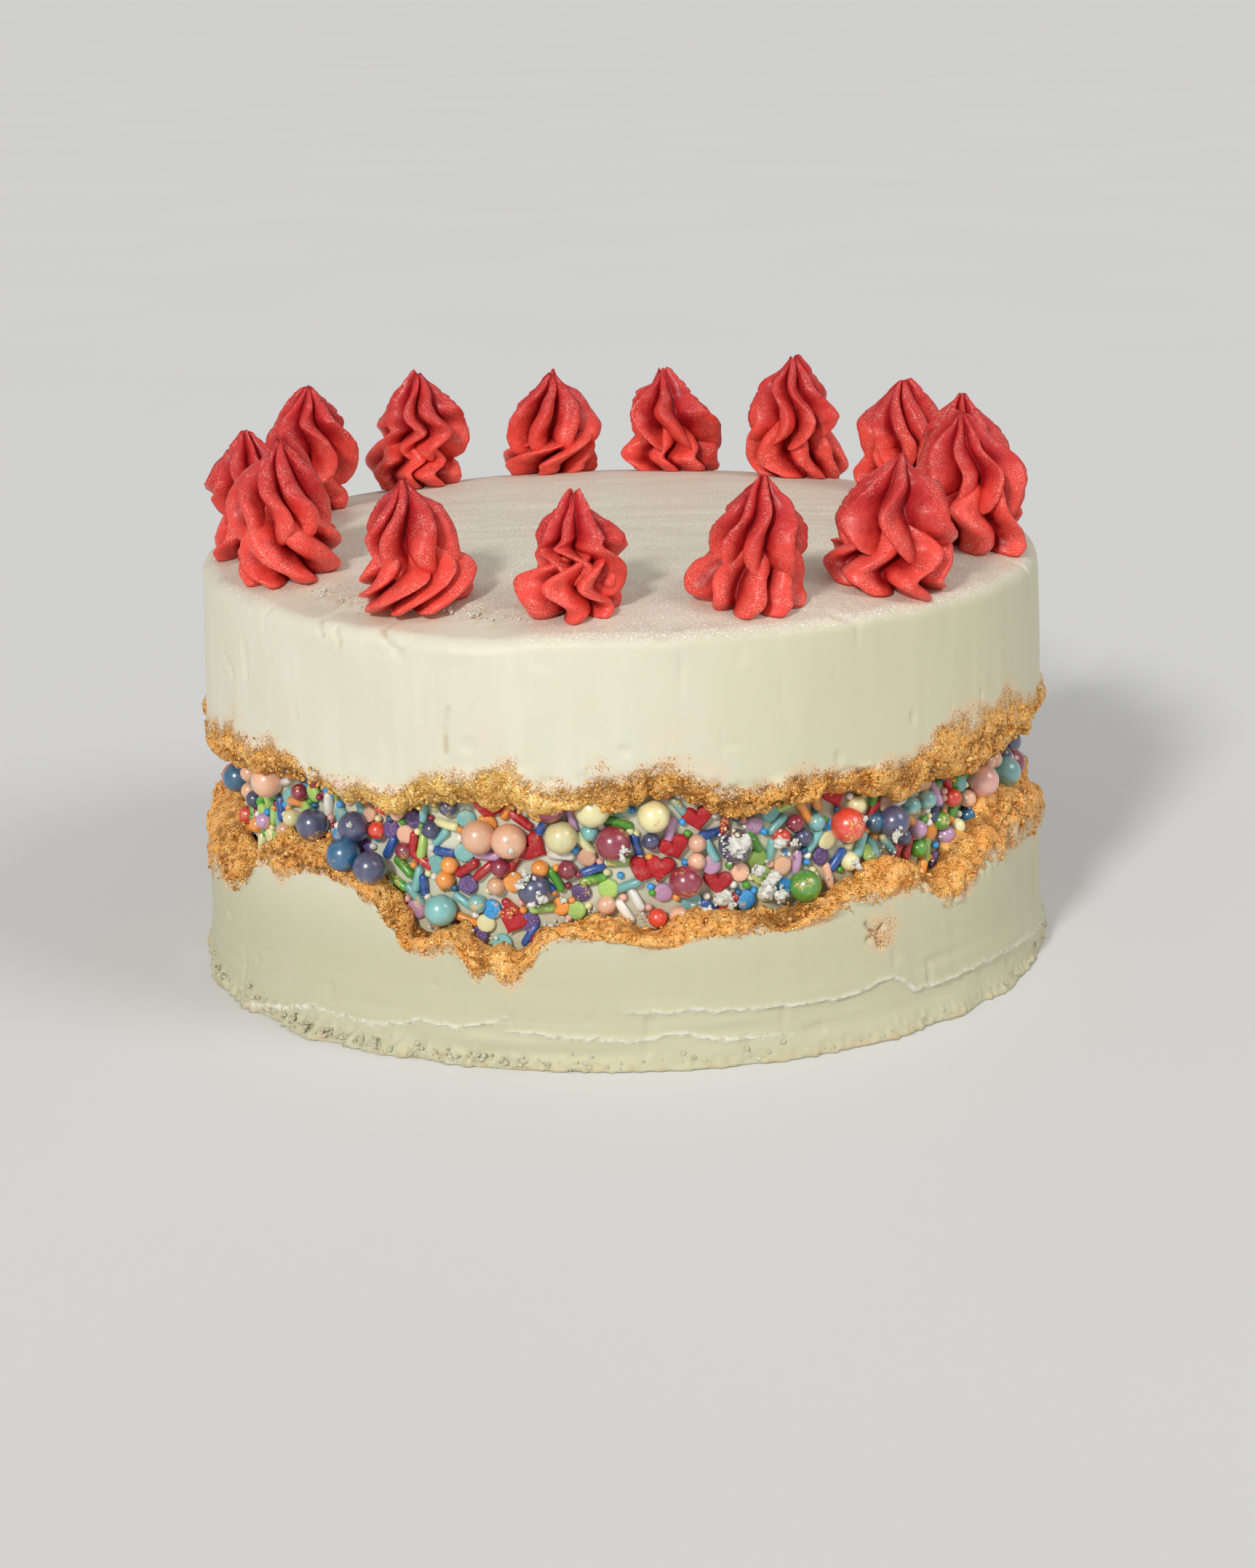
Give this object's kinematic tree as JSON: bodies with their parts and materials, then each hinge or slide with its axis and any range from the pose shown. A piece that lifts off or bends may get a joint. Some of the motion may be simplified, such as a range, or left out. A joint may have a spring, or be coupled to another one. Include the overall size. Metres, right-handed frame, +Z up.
{
  "type": "fault line birthday cake",
  "caption": "Round white buttercream cake with a torn-edged band of mixed sprinkles round its side and a ring of red piped swirls on its domed top.",
  "frame": {"origin": "centre of the cake's bounding box, on the flat underside it rests on", "axes": "+Z up through the cake; -Y faces the side that the picture shows; +X is to the right seen from there"},
  "size_m": [0.22, 0.2184, 0.1396],
  "materials": {
    "white_icing": "soft matt buttercream, scraped smooth, with glitter specks and gold-painted torn edges",
    "sprinkle_band": "cream icing covered with mixed pearl, matt and sugared sprinkles",
    "red_icing": "satin coral-red buttercream with glitter on its ridges"
  },
  "bodies": {
    "root": {"icing_lower": "white_icing", "icing_upper": "white_icing", "cake_band": "sprinkle_band", "swirl_01": "red_icing", "swirl_02": "red_icing", "swirl_03": "red_icing", "swirl_04": "red_icing", "swirl_05": "red_icing", "swirl_06": "red_icing", "swirl_07": "red_icing", "swirl_08": "red_icing", "swirl_09": "red_icing", "swirl_10": "red_icing", "swirl_11": "red_icing", "swirl_12": "red_icing", "swirl_13": "red_icing", "swirl_14": "red_icing"}
  },
  "joints": []
}
